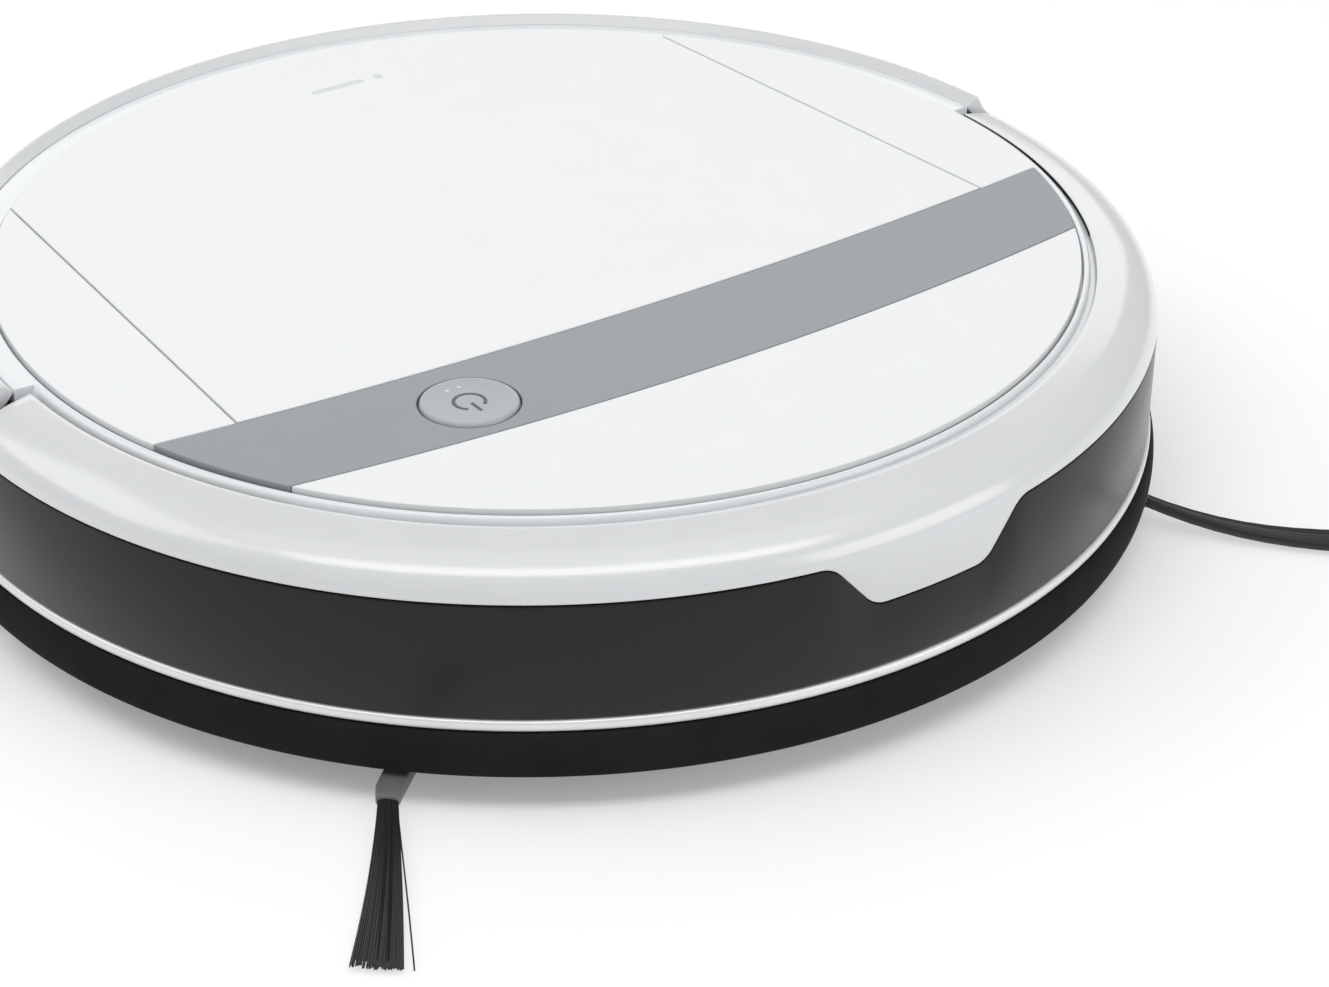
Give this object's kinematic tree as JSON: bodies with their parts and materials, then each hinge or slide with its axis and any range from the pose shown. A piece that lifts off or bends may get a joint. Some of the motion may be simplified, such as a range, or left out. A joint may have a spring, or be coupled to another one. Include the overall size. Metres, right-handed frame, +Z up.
{
  "type": "robot vacuum cleaner",
  "caption": "Low round self-driving sweeper: white top with a lift-up bin lid and grey control strip, dark sensor band, sprung bumper, corner brushes, roller brush and drive wheels.",
  "frame": {"origin": "on the floor plane, below the centre of the round body; wheels and caster touch that plane", "axes": "+Z up; the robot drives towards -Y, the bumper side; +X is to the right seen from the front"},
  "size_m": [0.34, 0.34, 0.0714],
  "materials": {
    "base_tray": "fine-textured black moulding",
    "top_frame": "white gloss moulding",
    "rear_shell": "white gloss",
    "rear_band": "dark gloss",
    "rear_trim": "satin metallised",
    "rear_skirt": "satin black",
    "charging_socket": "satin black",
    "front_panel": "white gloss",
    "control_strip": "light grey satin",
    "side_panel_left": "white gloss",
    "side_panel_right": "white gloss",
    "lid_hinge_pin_left": "bright",
    "lid_hinge_pin_right": "bright",
    "button_switch": "black",
    "suspension_pin_left": "bright",
    "suspension_pin_right": "bright",
    "suspension_spring_left": "bright wire",
    "suspension_spring_right": "bright wire",
    "side_brush_motor_left": "plated can",
    "side_brush_motor_right": "plated can",
    "brush_housing": "satin dark grey",
    "brush_guard": "satin dark grey",
    "brush_motor": "plated can",
    "drive_belt": "matt",
    "fan_housing": "satin black",
    "main_board": "green solder mask",
    "battery_pack": "blue shrink sleeve over steel cells",
    "battery_door": "fine-textured black",
    "cliff_sensor_left": "black window",
    "cliff_sensor_centre": "black window",
    "cliff_sensor_right": "black window",
    "charging_contact_left": "nickel plated",
    "charging_contact_right": "nickel plated",
    "bumper_switch_left": "grey",
    "bumper_switch_right": "grey",
    "bumper_shell": "white gloss",
    "bumper_window": "smoked infrared-clear, high gloss",
    "bumper_trim": "satin metallised",
    "bumper_skirt": "satin black",
    "bin_lid": "white gloss",
    "dust_bin": "smoked translucent",
    "bin_cover": "satin grey",
    "bin_filter": "pleated paper in a frame",
    "bin_handle": "satin dark grey",
    "start_button": "light grey satin",
    "power_switch": "red satin",
    "caster_fork": "satin black",
    "caster_wheel": "matt dark grey",
    "main_brush": "black bristle rows on a dark core",
    "brush_pulley": "natural nylon",
    "motor_pulley": "natural nylon",
    "fan_impeller": "natural plastic",
    "suspension_arm_left": "satin black",
    "wheel_hub_left": "satin dark grey",
    "wheel_tyre_left": "ribbed rubber",
    "side_brush_left": "black hub, grey clips, black bristles",
    "suspension_arm_right": "satin black",
    "wheel_hub_right": "satin dark grey",
    "wheel_tyre_right": "ribbed rubber",
    "side_brush_right": "black hub, grey clips, black bristles"
  },
  "bodies": {
    "chassis": {"base_tray": "base_tray", "top_frame": "top_frame", "rear_shell": "rear_shell", "rear_band": "rear_band", "rear_trim": "rear_trim", "rear_skirt": "rear_skirt", "charging_socket": "charging_socket", "front_panel": "front_panel", "control_strip": "control_strip", "side_panel_left": "side_panel_left", "side_panel_right": "side_panel_right", "lid_hinge_pin_left": "lid_hinge_pin_left", "lid_hinge_pin_right": "lid_hinge_pin_right", "button_switch": "button_switch", "suspension_pin_left": "suspension_pin_left", "suspension_pin_right": "suspension_pin_right", "suspension_spring_left": "suspension_spring_left", "suspension_spring_right": "suspension_spring_right", "side_brush_motor_left": "side_brush_motor_left", "side_brush_motor_right": "side_brush_motor_right", "brush_housing": "brush_housing", "brush_guard": "brush_guard", "brush_motor": "brush_motor", "drive_belt": "drive_belt", "fan_housing": "fan_housing", "main_board": "main_board", "battery_pack": "battery_pack", "battery_door": "battery_door", "cliff_sensor_left": "cliff_sensor_left", "cliff_sensor_centre": "cliff_sensor_centre", "cliff_sensor_right": "cliff_sensor_right", "charging_contact_left": "charging_contact_left", "charging_contact_right": "charging_contact_right", "bumper_switch_left": "bumper_switch_left", "bumper_switch_right": "bumper_switch_right"},
    "bumper": {"bumper_shell": "bumper_shell", "bumper_window": "bumper_window", "bumper_trim": "bumper_trim", "bumper_skirt": "bumper_skirt"},
    "lid": {"bin_lid": "bin_lid"},
    "bin": {"dust_bin": "dust_bin", "bin_cover": "bin_cover", "bin_filter": "bin_filter"},
    "bin_bail": {"bin_handle": "bin_handle"},
    "button": {"start_button": "start_button"},
    "rocker": {"power_switch": "power_switch"},
    "caster": {"caster_fork": "caster_fork"},
    "caster_roller": {"caster_wheel": "caster_wheel"},
    "roller": {"main_brush": "main_brush", "brush_pulley": "brush_pulley"},
    "pinion_pulley": {"motor_pulley": "motor_pulley"},
    "fan": {"fan_impeller": "fan_impeller"},
    "drive_arm_left": {"suspension_arm_left": "suspension_arm_left"},
    "drive_wheel_left": {"wheel_hub_left": "wheel_hub_left", "wheel_tyre_left": "wheel_tyre_left"},
    "sweeper_left": {"side_brush_left": "side_brush_left"},
    "drive_arm_right": {"suspension_arm_right": "suspension_arm_right"},
    "drive_wheel_right": {"wheel_hub_right": "wheel_hub_right", "wheel_tyre_right": "wheel_tyre_right"},
    "sweeper_right": {"side_brush_right": "side_brush_right"}
  },
  "joints": [
    {"name": "bumper_push", "type": "slide", "parent": "chassis", "child": "bumper", "axis": [0, 1, 0], "range_m": [0, 0.0018], "stiffness_N_per_m": 400, "springref_m": -0.003},
    {"name": "lid_hinge", "type": "hinge", "parent": "chassis", "child": "lid", "pos_m": [0, -0.036, 0.067], "axis": [1, 0, 0], "range_deg": [0, 80]},
    {"name": "bin_lift", "type": "slide", "parent": "chassis", "child": "bin", "axis": [0, 0, 1], "range_m": [0, 0.0616]},
    {"name": "bin_handle_hinge", "type": "hinge", "parent": "bin", "child": "bin_bail", "pos_m": [0, 0.042, 0.0644], "axis": [1, 0, 0], "range_deg": [0, 90]},
    {"name": "start_button_press", "type": "slide", "parent": "chassis", "child": "button", "axis": [0, 0, -1], "range_m": [0, 0.0008], "stiffness_N_per_m": 1000, "springref_m": -0.0008},
    {"name": "power_switch_rock", "type": "hinge", "parent": "chassis", "child": "rocker", "pos_m": [-0.058, 0.122, 0.0145], "axis": [0, 1, 0], "range_deg": [-8, 8]},
    {"name": "caster_swivel", "type": "hinge", "parent": "chassis", "child": "caster", "pos_m": [0, -0.122, 0.02], "axis": [0, 0, 1], "continuous": true},
    {"name": "caster_roll", "type": "hinge", "parent": "caster", "child": "caster_roller", "pos_m": [0, -0.116, 0.011], "axis": [1, 0, 0], "continuous": true},
    {"name": "main_brush_spin", "type": "hinge", "parent": "chassis", "child": "roller", "pos_m": [0, -0.04, 0.0205], "axis": [1, 0, 0], "continuous": true},
    {"name": "motor_pulley_spin", "type": "hinge", "parent": "chassis", "child": "pinion_pulley", "pos_m": [0.0885, -0.075, 0.031], "axis": [1, 0, 0], "continuous": true},
    {"name": "fan_spin", "type": "hinge", "parent": "chassis", "child": "fan", "pos_m": [0, 0.116, 0.034], "axis": [0, 0, 1], "continuous": true},
    {"name": "suspension_left", "type": "hinge", "parent": "chassis", "child": "drive_arm_left", "pos_m": [-0.122, 0.052, 0.036], "axis": [1, 0, 0], "range_deg": [0, 20], "stiffness_Nm_per_rad": 0.3, "springref_deg": 34.38, "deforming": ["suspension_spring_left"]},
    {"name": "wheel_spin_left", "type": "hinge", "parent": "drive_arm_left", "child": "drive_wheel_left", "pos_m": [-0.122, 0.008, 0.031], "axis": [1, 0, 0], "continuous": true},
    {"name": "side_brush_spin_left", "type": "hinge", "parent": "chassis", "child": "sweeper_left", "pos_m": [-0.104, -0.104, 0.012], "axis": [0, 0, 1], "continuous": true},
    {"name": "suspension_right", "type": "hinge", "parent": "chassis", "child": "drive_arm_right", "pos_m": [0.122, 0.052, 0.036], "axis": [1, 0, 0], "range_deg": [0, 20], "stiffness_Nm_per_rad": 0.3, "springref_deg": 34.38, "deforming": ["suspension_spring_right"]},
    {"name": "wheel_spin_right", "type": "hinge", "parent": "drive_arm_right", "child": "drive_wheel_right", "pos_m": [0.122, 0.008, 0.031], "axis": [1, 0, 0], "continuous": true},
    {"name": "side_brush_spin_right", "type": "hinge", "parent": "chassis", "child": "sweeper_right", "pos_m": [0.104, -0.104, 0.012], "axis": [0, 0, 1], "continuous": true}
  ],
  "couplings": [
    {"joint": "bin_lift", "follows": "lid_hinge", "m_per_rad": 0.044},
    {"joint": "bin_handle_hinge", "follows": "lid_hinge", "ratio": 1.125},
    {"joint": "motor_pulley_spin", "follows": "main_brush_spin", "ratio": 1.5714}
  ]
}
